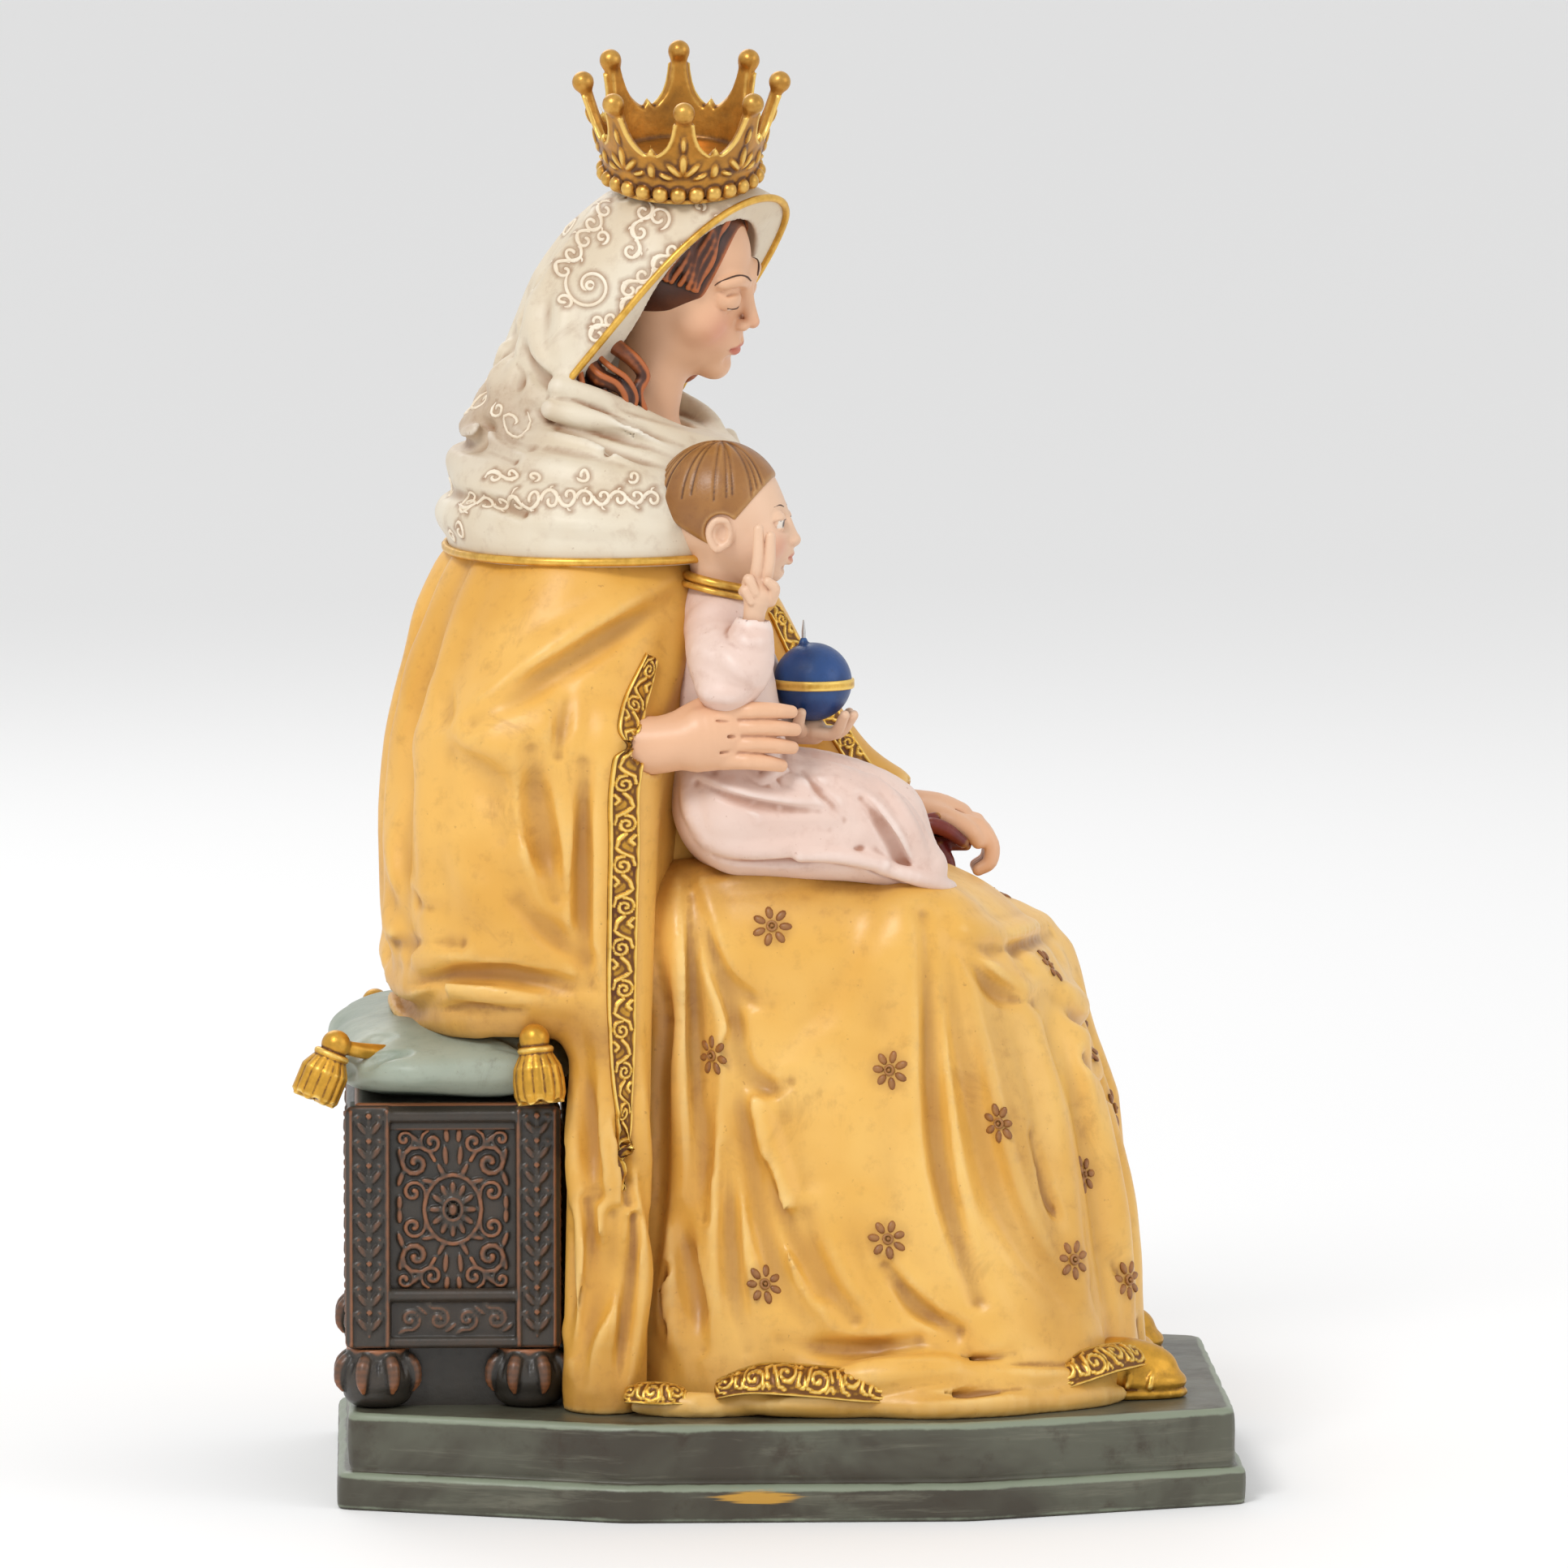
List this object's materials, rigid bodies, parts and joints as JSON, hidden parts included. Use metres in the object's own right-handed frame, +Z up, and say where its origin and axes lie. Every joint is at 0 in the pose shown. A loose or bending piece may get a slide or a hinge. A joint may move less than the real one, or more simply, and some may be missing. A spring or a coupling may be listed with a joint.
{
  "type": "madonna statue",
  "caption": "Seated crowned mother-and-child devotional statue in painted cast resin, on a stool with a tasselled cushion and a stepped octagonal plinth.",
  "frame": {"origin": "centre of the plinth's underside, on the felt", "axes": "+X the way the figure faces (front of the statue), +Y the figure's left, +Z up"},
  "size_m": [0.207, 0.15, 0.3175],
  "materials": {
    "plinth_paint": "dark grey-green paint, dry-brushed, satin",
    "felt": "felt",
    "steel": "plain",
    "stool_paint": "gunmetal brown paint with copper dry-brush, satin",
    "cushion_paint": "sage paint with pale streaks, satin",
    "gilt_paint": "old gold paint, satin",
    "ochre_paint": "yellow ochre paint with brown wash, satin",
    "ivory_paint": "ivory paint with brown wash, satin",
    "skin_paint": "flesh paint, satin",
    "hair_paint": "chestnut paint, satin",
    "child_hair_paint": "golden brown paint, satin",
    "pink_paint": "pale pink paint with brown wash, satin",
    "blue_paint": "dark blue paint, satin",
    "crimson_paint": "dark red paint with gold, satin",
    "shoe_paint": "brown and gold paint, satin"
  },
  "bodies": {
    "root": {"plinth": "plinth_paint", "felt_pad": "felt", "figure_dowels": "steel", "stool_core": "stool_paint", "stool_frame": "stool_paint", "stool_panels": "stool_paint", "stool_feet": "stool_paint", "cushion": "cushion_paint", "cushion_tassels": "gilt_paint", "gown": "ochre_paint", "shoes": "shoe_paint", "mantle": "ochre_paint", "veil": "ivory_paint", "head": "skin_paint", "hair": "hair_paint", "head_dowel": "steel", "crown": "gilt_paint", "crown_peg": "steel", "right_hand": "skin_paint", "right_hand_pin": "steel", "left_hand": "skin_paint", "left_hand_pin": "steel", "scapular": "crimson_paint", "child_body": "pink_paint", "child_head": "skin_paint", "child_hair": "child_hair_paint", "child_neck_dowel": "steel", "child_seat_dowel": "steel", "child_right_hand": "skin_paint", "child_left_hand": "skin_paint", "child_hand_pins": "steel", "globe": "blue_paint", "globe_band": "gilt_paint", "globe_spike": "steel"}
  },
  "joints": []
}
